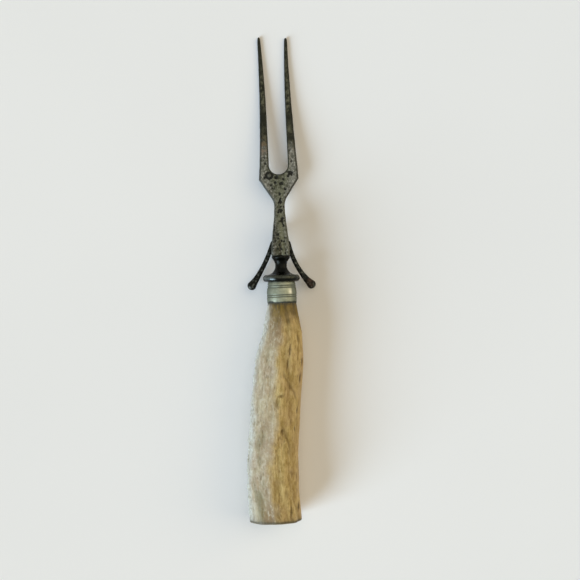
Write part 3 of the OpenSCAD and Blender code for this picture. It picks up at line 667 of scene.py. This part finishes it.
def antler_skin():
    """Skin of the antler and its marks: ellipses behind the ferrule, shifted by the bow and cut in.

    Two sets of swaying furrows run along it, as squared sines of the turn. Long fibres are noise that is
    stretched along the handle, beads are strewn over the neck and the chalky flank, noise roughens the
    flank's edge, and two long cracks wander down the golden side among single nicks.
    """
    behind = column(stations(0.4, 0, HANDLE_LEN - BUTT_BEVEL))
    turn = around(SKIN_COLS)
    half_w, half_h = antler_half(behind, SWELL_W, BUTT_W), antler_half(behind, SWELL_H, BUTT_H)
    smooth_x, smooth_z = half_w * np.sin(turn), half_h * np.cos(turn)

    def noise(over, along, seed, count=3):
        """Layers of noise on the smooth skin, at one scale across the handle and another along it."""
        return layers(smooth_x * over, behind * along, smooth_z * over, seed, count)

    def strewn(over, along, seed):
        """Beads on the smooth skin, scaled in the same way."""
        return beads(smooth_x * over, behind * along, smooth_z * over, seed)

    wave = 2 * np.pi * behind / FURROW_WAVE
    first = np.sin(FURROWS / 2 * turn + math.radians(60) * np.sin(wave)) ** 2
    second = np.sin((FURROWS - 4) / 2 * turn + math.radians(50) - wave / 4) ** 2
    furrow = (0.65 * first + 0.35 * second) * span(behind, 0, FURROW_RUN_IN)

    # The angle that the marks go by wanders, and the left flank and its outermost edge lie by it. The flank's
    # chalky grey is partly painted sheen, and the edge's white partly a painted highlight
    plain_angle = from_top(turn)
    angle = plain_angle + 5 * noise(0, 0.06, 61) + 6 * noise(0.35, 0.16, 62)
    flank = ease(-angle, -8, 11) * (1 - ease(-angle, 105, 150))
    edge_on = ease(-angle, 42, 74) * (1 - ease(-angle, 88, 124))

    fibre = noise(0.95, 0.12, 63, 4)
    slits = np.clip(1 - np.abs(noise(0.55, 0.06, 64)) * 7, 0, 1) * ease(noise(0.2, 0.06, 65), 0.1, 0.5)
    beaded = strewn(0.72, 0.46, 66) * blend(0.2, 1, np.maximum(0.7 * flank, ease(-behind, -44, -12)))
    knobs = np.clip(noise(0.36, 0.34, 67), -0.3, 1) * edge_on
    pores = np.clip((strewn(0.8, 0.3, 68) - 0.84) * 6, 0, 1) * ease(noise(0.3, 0.08, 69), 0, 0.4)
    crevice = edge_on * ease(-noise(0.8, 0.5, 77), 0.15, 0.5)
    crack = 0
    for (start, stop), path in CRACKS:
        off = plain_angle - np.interp(behind, *path) - 1.5 * noise(0, 0.3, 74)
        run = ease(behind, start, start + CRACK_RUN_IN) * (1 - ease(behind, stop - CRACK_RUN_IN, stop))
        crack = np.maximum(crack, hump(off, 0, CRACK_HALF) * run)
    crack = crack * blend(0.25, 0.8, ease(noise(0, 0.16, 75), -0.4, 0.5))
    ragged = np.maximum(0.3, 1 + 0.8 * noise(1.5, 0.6, 76))
    nick = 0
    for place, nick_angle, long, wide, strength in NICKS:
        over = np.radians(plain_angle - nick_angle) * half_w
        away = ((over / wide) ** 2 + ((behind - place) / long) ** 2) * ragged
        nick = np.maximum(nick, strength * np.exp(-(away**1.5)))

    rough = -0.11 * fibre + 0.22 * slits - 0.22 * (beaded - 0.4) - 0.62 * knobs
    rough = rough + 0.3 * crevice + 0.25 * pores + 0.3 * crack + 0.35 * nick
    cut = FURROW_DEPTH * furrow + ease(behind, 1, 12) * rough
    x = antler_bow(behind) + (half_w - cut) * np.sin(turn)
    z = np.maximum((half_h - cut) * np.cos(turn), TABLE_FREE - AXIS_H)
    groove = 0.5 * furrow + 0.5 * slits - 0.3 * fibre - 0.35 * (beaded - 0.5) - 0.3 * knobs + 0.45 * crevice

    # Amber and brown under the ferrule, brown at the butt, stains, and at both ends grime with painted shade
    amber = (1 - ease(behind + 4 * noise(0.3, 0.2, 70), 1, 17)) * ease(angle, -84, -30)
    brown_from = blend(-95, -60, ease(behind, 8, 22))
    tan = (1 - ease(behind, 12, 34)) * ease((angle - brown_from) / (-15 - brown_from), 0, 1)
    tan = tan + ease(behind, 99, 117) * hump(angle, -12, 19)
    stain = hump(angle, -34, 10) * ease(behind, 58, 80) * ease(noise(0.35, 0.12, 71), -0.5, 0.5)
    stain = np.maximum(stain, hump(plain_angle, -33, 9) * hump(behind, 106, 2.6))
    # Darker at both ends: grime, with painted shade in the gap at the ferrule and round the butt's bevel
    grime_and_shade = hump(behind, 0, 1.1) + hump(behind, HANDLE_LEN - 0.7, 0.8)
    grime_and_shade = grime_and_shade + 0.3 * ease(behind, HANDLE_LEN - 5, HANDLE_LEN - 0.6)
    return np.stack([x, -FERRULE_LEN - behind + 0 * x, z], -1), {
        "flank": flank, "groove": np.clip(groove, 0, 1), "amber": amber, "stain": stain, "tan": flank * tan,
        "speck": np.maximum(np.maximum(0.66 * crack, 0.6 * pores), nick), "pale": edge_on,
        "rosy": ease(angle, 58, 80) * (1 - ease(angle, 130, 165)), "grime_and_shade": np.minimum(grime_and_shade, 1),
    }


def antler():
    """Antler: its skin, its sawn butt, and the spigot inside the ferrule.

    The skin's last ring goes over a bevel and then in to the middle, where the core is open and porous.
    """
    skin, marks = antler_skin()
    middle = np.array([antler_bow(HANDLE_LEN - BUTT_BEVEL), -FERRULE_LEN - HANDLE_LEN, 0])
    share = column([0.99, 0.975, 0.955], np.linspace(0.93, 0, 36))
    depth = column([0.45, 0.82, 0.97], np.ones(36))
    butt = middle + (skin[-1] - middle) * np.array([1, 0, 1]) * share[..., None]
    x, z = butt[..., 0], butt[..., 2]
    core = 1 - ease(share + 0.12 * layers(x * 0.25, z * 0.25, 0, 72), 0.5, 0.72)
    holes = np.clip((beads(x * 1.1, z * 1.1, 0.5, 73) - 0.55) * 2.4, 0, 1) * core
    butt[..., 1] = skin[-1, :, 1] - BUTT_BEVEL * depth + 0.4 * holes * (share > 0.02)
    sawn = column(0, np.ones(len(share)))
    butt_marks = {
        "flank": marks["flank"][-1:], "groove": np.concatenate([marks["groove"][-1:], 0.6 * holes]),
        "core": np.concatenate([0 * core[:1], core]), "speck": marks["speck"][-1:] * (1 - sawn), "sawn": sawn,
        # Grime with painted shade round the butt's bevel
        "grime_and_shade": np.concatenate([[[1]], hump(share, 1, 0.035)]),
    }
    spigot_r = FERRULE_BORE_R - 0.05
    spigot = turned([0, spigot_r, spigot_r], [-0.4, -0.4, -FERRULE_LEN], SKIN_COLS)
    return [
        (skin, True, marks),
        (np.concatenate([skin[-1:], butt]), True, butt_marks),
        (np.concatenate([spigot, skin[:1]]), True, {"amber": 1}),
    ]


class Value:
    """A number that changes over a surface. Sums, differences and products of it add Math nodes."""

    def __init__(self, nodes, socket):
        self.nodes, self.socket = nodes, socket

    def math(self, operation, *terms):
        """A Math node on the terms."""
        return self.nodes.add("ShaderNodeMath", {"operation": operation}, dict(enumerate(terms)))

    def __add__(self, other):
        return self.math("ADD", self, other)

    def __sub__(self, other):
        return self.math("SUBTRACT", self, other)

    def __rsub__(self, other):
        return self.math("SUBTRACT", other, self)

    def __mul__(self, other):
        return self.math("MULTIPLY", self, other)

    __radd__, __rmul__ = __add__, __mul__

    def either(self, other):
        """The greater of two values."""
        return self.math("MAXIMUM", self, other)

    def rise(self, low, high):
        """0 below low, 1 above high and a smooth step between them."""
        inputs = {"Value": self, "From Min": low, "From Max": high}
        return self.nodes.add("ShaderNodeMapRange", {"interpolation_type": "SMOOTHSTEP"}, inputs)


def paint(*levels):
    """A colour of red, green and blue in screen values from 0 to 255, as linear light."""
    shares = [level / 255 for level in levels]
    return tuple(c / 12.92 if c < 0.0404 else ((c + 0.055) / 1.055) ** 2.4 for c in shares) + (1,)


class Nodes:
    """A tree of nodes and the way that nodes are added to it."""

    def __init__(self, tree):
        self.tree = tree

    def add(self, kind, settings, inputs, output=0):
        """A node of a kind, with settings, and values or links for its sockets; gives one of its outputs."""
        node = self.tree.nodes.new(kind)
        for name, value in settings.items():
            setattr(node, name, value)
        for key, value in inputs.items():
            self.put(node.inputs[key], value)
        return Value(self, node.outputs[output])

    def put(self, socket, value):
        """Links a value to a socket, or sets a plain number or colour on it."""
        if isinstance(value, Value):
            self.tree.links.new(value.socket, socket)
        else:
            socket.default_value = value

    def tint(self, share, first, second):
        """The second colour over the first by a share."""
        return self.add("ShaderNodeMix", {"data_type": "RGBA"}, {0: share, 6: first, 7: second}, 2)

    def coats(self, colour, *coats):
        """More colours over a first one, each by its share."""
        for share, coat in coats:
            colour = self.tint(share, colour, coat)
        return colour


class Finish(Nodes):
    """A material: Principled surface with what varies over it worked out by nodes."""

    def __init__(self, name, **constants):
        self.material = bpy.data.materials.new(name)
        self.material.use_nodes = True
        super().__init__(self.material.node_tree)
        self.surface = self.tree.nodes["Principled BSDF"]
        self.finished(**constants)

    def finished(self, **inputs):
        """The material, with values or links for its surface's sockets, named with _ for spaces."""
        for name, value in inputs.items():
            self.put(self.surface.inputs[name.replace("_", " ")], value)
        return self.material

    def place(self, over=1, along=1):
        """The piece's own coordinates in metres, times one scale across the fork and another along it."""
        at = self.add("ShaderNodeTexCoord", {}, {}, "Object")
        return self.add("ShaderNodeMapping", {}, {"Vector": at, "Scale": (over, along, over)})

    def part(self, index):
        """One of the piece's own coordinates."""
        return self.add("ShaderNodeSeparateXYZ", {}, {"Vector": self.place()}, index)

    def marks(self, *names):
        """Numbers that the piece carries at its points."""
        return [self.add("ShaderNodeAttribute", {"attribute_name": name}, {}, "Fac") for name in names]

    def noise(self, over, along, detail=3, roughness=0.55, distortion=0):
        """Layered noise from 0 to 1, mostly near a half, with a scale across the fork and one along it."""
        inputs = {"Detail": detail, "Roughness": roughness, "Distortion": distortion}
        return self.add("ShaderNodeTexNoise", {}, {"Vector": self.place(over, along), "Scale": 1} | inputs)

    def bump(self, height, strength, distance):
        """A normal that leans with the slope of a height."""
        return self.add("ShaderNodeBump", {}, {"Strength": strength, "Distance": distance, "Height": height})


def stag_antler():
    """Golden antler with brown furrows and short fibres, a chalky flank that is partly painted sheen, an
    amber neck and a porous core.
    """
    look = Finish("stag_antler", IOR=1.5, Specular_IOR_Level=0.35)
    flank, groove, amber, core, stain = look.marks("flank", "groove", "amber", "core", "stain")
    speck, sawn, pale, rosy, tan, grime_and_shade = look.marks("speck", "sawn", "pale", "rosy", "tan", "grime_and_shade")
    fibre = look.noise(1100, 240, 4, 0.62)
    streak = look.noise(340, 70, 4, 0.62, 0.9)
    cloudy = look.noise(150, 150, 4, 0.6)
    mottle = look.noise(620, 330, 4, 0.66)
    grain = look.noise(1900, 1500, 3, 0.65)
    light_mottle, dark_mottle = mottle.rise(0.51, 0.61), (1 - mottle).rise(0.53, 0.63)

    gold = look.coats(
        paint(163, 139, 79),
        (streak.rise(0.36, 0.66), paint(199, 175, 117)),
        (cloudy.rise(0.42, 0.7) * 0.5, paint(184, 156, 116)),
        (light_mottle * 0.5, paint(204, 182, 126)),
        (dark_mottle * 0.45, paint(126, 103, 48)),
        (rosy * (0.3 + 0.6 * cloudy), paint(182, 156, 118)))
    # The chalky grey of the flank is partly painted sheen
    chalk = look.coats(
        paint(168, 148, 120),
        (cloudy.rise(0.34, 0.66), paint(184, 170, 138)),
        (streak.rise(0.5, 0.72) * 0.4, paint(176, 170, 142)),
        (tan * 0.8, paint(132, 108, 72)),
        (light_mottle * 0.5, paint(202, 192, 168)),
        (dark_mottle * 0.4, paint(138, 121, 96)),
        # Painted highlight, partly real whiteness: the outermost left edge near white
        (pale * (0.62 + 0.4 * mottle) * (1 - 0.5 * groove), paint(194, 195, 186)))

    furrow_brown = look.tint(flank, paint(124, 98, 46), paint(140, 126, 98))
    fibre_brown = look.tint(flank, paint(128, 104, 52), paint(142, 127, 102))
    amber_brown = look.tint(streak.rise(0.4, 0.62), paint(74, 58, 7), paint(112, 89, 18))
    speck_brown = look.tint(grain.rise(0.4, 0.6), paint(70, 54, 20), paint(104, 82, 38))
    sawn_tan = look.tint(cloudy.rise(0.4, 0.62), paint(112, 101, 74), paint(152, 139, 108))
    colour = look.coats(
        look.tint(flank, gold, chalk),
        ((groove * 1.2).rise(0.3, 1.0) * 0.5, furrow_brown),
        ((1 - fibre).rise(0.54, 0.7) * 0.42, fibre_brown),
        (grain.rise(0.52, 0.7) * 0.25, paint(120, 100, 62)),
        (stain * 0.7, paint(112, 106, 72)),
        (amber * (0.78 + 0.4 * cloudy), amber_brown),
        (speck * (0.65 + 0.7 * mottle), speck_brown),
        (sawn * 0.8, sawn_tan),
        # Grime with painted shade at both ends
        (grime_and_shade * (0.55 + 0.5 * cloudy), paint(50, 45, 26)),
        (core * (0.6 + 0.4 * grain), paint(134, 118, 90)))

    bumps = look.bump(fibre * 0.5 + grain * 0.5 + mottle * 0.8, 0.6, 0.00028)
    rough = 0.52 + 0.2 * groove + 0.14 * (fibre - 0.5) - 0.06 * flank
    return look.finished(Base_Color=colour, Roughness=rough, Normal=bumps)


def forged_steel():
    """Old unplated steel: mottled olive with grey wear, dark pits, painted shade on the bevels, painted sheen
    and shade on the shank, and almost black tines.

    The mottling is calmer off the front face.
    """
    look = Finish("forged_steel", IOR=1.5, Specular_IOR_Level=0.2)
    right, along = look.part(0), look.part(1)
    pit, rim, rust, scorch = look.marks("pit", "rim", "rust", "scorch")
    worn, sheen_and_wear, smear_and_shade, front = look.marks("worn", "sheen_and_wear", "smear_and_shade", "front")
    blotch = look.noise(520, 520, 5, 0.66)
    slow = look.noise(130, 130, 4, 0.6)
    streak = look.noise(560, 90, 3, 0.6)
    grain = look.noise(1150, 850, 4, 0.66)
    fine = look.noise(2600, 2000, 3, 0.6)
    light_blotch, dark_grain = blotch.rise(0.38, 0.62), (1 - grain).rise(0.54, 0.66)

    olive = look.coats(
        paint(68, 70, 56),
        (light_blotch, paint(110, 112, 96)),
        (streak.rise(0.42, 0.6) * 0.55, paint(62, 63, 48)),
        # Painted sheen and wear on the shank
        (sheen_and_wear * 0.7, paint(108, 109, 88)),
        # Smears and soot, with painted shade down the shank's left
        (smear_and_shade * (0.4 + 0.7 * blotch), paint(46, 42, 26)))
    grey = look.tint(light_blotch, paint(82, 82, 74), paint(124, 124, 117))
    dark = look.coats(
        paint(42, 43, 31),
        (slow.rise(0.4, 0.64), paint(72, 71, 55)),
        (blotch.rise(0.5, 0.58) * 0.8, paint(92, 91, 74)),
        ((1 - blotch).rise(0.5, 0.58) * 0.85, paint(18, 19, 10)),
        (grain.rise(0.54, 0.66) * 0.5, paint(104, 102, 86)),
        (dark_grain * 0.65, paint(16, 17, 9)),
        (scorch * (0.7 + 0.6 * blotch), paint(22, 23, 13)))

    mottled = 0.3 + 0.7 * front
    patina = along + 0.03 * right + (blotch - 0.5) * 0.012 + (slow - 0.5) * 0.02
    colour = look.coats(
        look.tint(worn, olive, grey),
        (grain.rise(0.53, 0.65) * (0.38 + 0.45 * worn) * mottled, paint(158, 158, 151)),
        (dark_grain * (0.65 - 0.3 * sheen_and_wear) * mottled, paint(30, 30, 21)),
        (patina.rise(0.072, 0.0785), dark),
        (rust * blotch.rise(0.36, 0.6) * 0.7, paint(104, 81, 60)),
        # Painted shade on the bevels and the gap walls
        (rim * (0.3 + 0.75 * blotch), paint(22, 23, 17)),
        (pit.rise(0.18, 0.55) * (0.7 + 0.45 * blotch), paint(14, 14, 9)))
    rough = 0.4 + 0.25 * blotch + 0.2 * pit
    bumps = look.bump(blotch * 0.7 + grain * 0.6 + fine * 0.3, 0.7, 0.00024)
    metal = 0.62 - 0.4 * pit.rise(0.2, 0.8) - 0.2 * rust - 0.2 * scorch
    return look.finished(Base_Color=colour, Roughness=rough, Metallic=metal, Normal=bumps)


def black_bolster():
    """Smooth turned steel, almost black, with grey wear round the flange's rim, and bare steel on its left
    painted with a bluish highlight.
    """
    look = Finish("black_bolster", IOR=1.5, Specular_IOR_Level=0.12)
    rim, bare_and_glint = look.marks("rim", "bare_and_glint")
    rings = look.noise(60, 2600, 3)
    blotch = look.noise(500, 500, 5, 0.62)
    rim = rim * blotch.rise(0.25, 0.55)
    colour = look.coats(
        paint(6, 7, 4),
        (blotch.rise(0.4, 0.7), paint(15, 17, 12)),
        (rim * 0.9, paint(72, 74, 65)),
        # Painted highlight: bluish bare steel on the flange's left
        (bare_and_glint * 0.8, paint(106, 114, 114)))
    bumps = look.bump(rings * 0.4 + blotch * 0.4, 0.4, 0.00012)
    metal = 0.5 + 0.3 * rim.either(bare_and_glint)
    return look.finished(Base_Color=colour, Roughness=0.16 + 0.2 * blotch, Metallic=metal, Normal=bumps)


def black_guard():
    """Blackened guard steel with grey scuffs along its top, and a brownish patch on one toe."""
    look = Finish("black_guard", IOR=1.5, Specular_IOR_Level=0.12, Metallic=0.4)
    toe, top = look.marks("toe", "top")
    blotch = look.noise(620, 620, 5, 0.68)
    slow = look.noise(170, 170, 3)
    colour = look.coats(
        paint(9, 10, 7),
        (blotch.rise(0.35, 0.62), paint(25, 27, 21)),
        (blotch.rise(0.5, 0.62) * (0.06 + 0.6 * top), paint(104, 107, 99)),
        (toe * slow.rise(0.3, 0.6) * 0.75, paint(92, 70, 60)))
    bumps = look.bump(blotch, 0.6, 0.0002)
    return look.finished(Base_Color=colour, Roughness=0.4 + 0.25 * blotch, Normal=bumps)


def nickel_silver():
    """Dull yellowish nickel silver with turning lines, dark dirt in the grooves, grime and painted shade at
    the antler, painted shade down its sides and a painted highlight.
    """
    look = Finish("nickel_silver", IOR=1.6)
    hollow, side_shade, painted_glint, grime_and_gap_shade = look.marks("hollow", "side_shade", "painted_glint", "grime_and_gap_shade")
    lines = look.noise(90, 5200, 3, 0.6)
    cloudy = look.noise(260, 260, 4, 0.6)
    grime_and_shade = look.noise(900, 900, 4, 0.65)
    colour = look.coats(
        paint(118, 121, 102),
        (cloudy.rise(0.34, 0.68), paint(142, 145, 126)),
        # Painted shade down the ferrule's sides
        (side_shade * (0.5 + 0.5 * cloudy), paint(98, 104, 90)),
        # Painted highlight on the ferrule's right
        (painted_glint * 0.8, paint(205, 203, 186)),
        (lines.rise(0.5, 0.8) * 0.3, paint(112, 115, 98)),
        (grime_and_shade.rise(0.58, 0.76) * 0.4, paint(96, 96, 78)),
        (hollow * (0.5 + 0.6 * grime_and_shade), paint(58, 62, 50)),
        # Grime with painted shade in the gap at the antler end
        (grime_and_gap_shade * (0.75 + 0.4 * grime_and_shade), paint(26, 27, 16)))
    rough = 0.4 + 0.14 * cloudy + 0.2 * hollow + 0.3 * grime_and_gap_shade
    metal = 0.72 - 0.4 * hollow.either(grime_and_gap_shade)
    bumps = look.bump(lines * 0.5 + grime_and_shade * 0.3, 0.4, 0.00012)
    return look.finished(Base_Color=colour, Roughness=rough, Metallic=metal, Normal=bumps)


def spring_steel():
    """Dull spring steel with lengthwise file marks and rust specks."""
    look = Finish("spring_steel", IOR=1.6)
    filed = look.noise(3600, 160, 3, 0.6)
    rust = look.noise(700, 700, 4)
    rusty = rust.rise(0.56, 0.72)
    colour = look.tint(filed.rise(0.35, 0.7), paint(70, 70, 66), paint(118, 117, 110))
    colour = look.tint(rusty * 0.7, colour, paint(66, 46, 32))
    rough, metal = 0.34 + 0.3 * rust, 0.8 - 0.4 * rusty
    bumps = look.bump(filed + rust, 0.4, 0.0001)
    return look.finished(Base_Color=colour, Roughness=rough, Metallic=metal, Normal=bumps)


def cutlers_resin():
    """Dark brown resin with grains of brick dust."""
    look = Finish("cutlers_resin", IOR=1.5)
    dust = look.noise(1400, 1400, 4, 0.7)
    colour = look.tint(dust.rise(0.4, 0.7), paint(52, 32, 20), paint(104, 70, 46))
    bumps = look.bump(dust, 0.5, 0.0002)
    return look.finished(Base_Color=colour, Roughness=0.45 + 0.3 * dust, Normal=bumps)


def pale_table():
    """Pale matt table top, nearly white, with very slow changes of tone."""
    look = Finish("pale_table", Specular_IOR_Level=0, Roughness=0.75)
    slow = look.noise(4, 4, 2)
    colour = look.tint(slow.rise(0.3, 0.7), paint(235, 235, 235), paint(237, 237, 237))
    return look.finished(Base_Color=colour)


steel, spring_grey = forged_steel(), spring_steel()
forging = head_half(1, REACH - TIP_WEAR) + head_half(-1, REACH)
wishbone = [guard_bar(), guard_knuckle(), guard_hub()]

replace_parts(shell("fork_head", "fork", steel, forging), "fork_forging")
shell("hinge_ears", "fork", steel, [ear(1), ear(-1)])
shell("turned_bolster", "fork", black_bolster(), [bolster()])
shell("square_tang", "fork", steel, [tang()])
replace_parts(shell("guard_wishbone", "guard", black_guard(), wishbone), "guard")
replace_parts(shell("hinge_pin", "fork", spring_grey, [hinge_pin()]), "guard_pin")
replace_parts(shell("leaf_spring", "fork", spring_grey, [leaf_spring()]), "guard_spring")
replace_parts(shell("domed_rivet", "fork", spring_grey, [spring_rivet()]), "spring_rivet")
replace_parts(shell("ringed_ferrule", "fork", nickel_silver(), [ferrule()], 60), "ferrule")
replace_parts(shell("antler_handle", "fork", stag_antler(), antler(), 60), "handle")
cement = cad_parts["tang_cement"].data.materials
cement.clear()
cement.append(cutlers_resin())


def floor():
    """Flat square table top at the height that the fork lies on."""
    mesh = bpy.data.meshes.new("table_top")
    mesh.from_pydata([(-9, -9, 0), (9, -9, 0), (9, 9, 0), (-9, 9, 0)], [], [(0, 1, 2, 3)])
    mesh.materials.append(pale_table())
    in_scene("table_top", mesh)


def lamp(name, bearing, height, width, level, colour):
    """Soft lamp so far off that it lights the whole table alike.

    Bearing and height are the angles to it from the right and from the table, width is how wide it looks, and
    level is how much it adds to a white table, on which all light together makes about 1.
    """
    light = bpy.data.lights.new(name, "SUN")
    light.angle, light.color = math.radians(width), colour
    light.energy = level * math.pi / math.sin(math.radians(height))
    in_scene(name, light).rotation_euler = (0, math.radians(90 - height), math.radians(bearing))


floor()
lamp("window", 215, 24, 36, 0.5, (0.66, 0.83, 1.0))
lamp("room", 9, 30, 50, 0.17, (1.0, 0.85, 0.58))
lamp("ceiling", 53, 75, 55, 0.21, (1.0, 0.92, 0.78))

# The room: a dim warm glow on the fork, and the pale of the table where it is seen or mirrored
world = bpy.data.worlds.new("pale_room")
world.use_nodes = True
room = Nodes(world.node_tree)
ray_names = ("Is Camera Ray", "Is Glossy Ray", "Is Transmission Ray")
camera_ray, mirror_ray, through_ray = (room.add("ShaderNodeLightPath", {}, {}, name) for name in ray_names)
seen = camera_ray.either(mirror_ray).either(through_ray)
glow = room.tint(seen, (0.21, 0.185, 0.145, 1), paint(228, 228, 222))
room.put(world.node_tree.nodes["Background"].inputs["Color"], glow)
bpy.context.scene.world = world

camera = in_scene("camera", bpy.data.cameras.new("camera"))
camera.data.sensor_fit = "HORIZONTAL"
camera.data.angle = math.radians(25.0)
camera.location = (0.006, -0.0076, 0.75)
camera.rotation_euler = (0, 0, math.radians(-1.55))
bpy.context.scene.camera = camera
bpy.context.scene.view_settings.view_transform = "Standard"
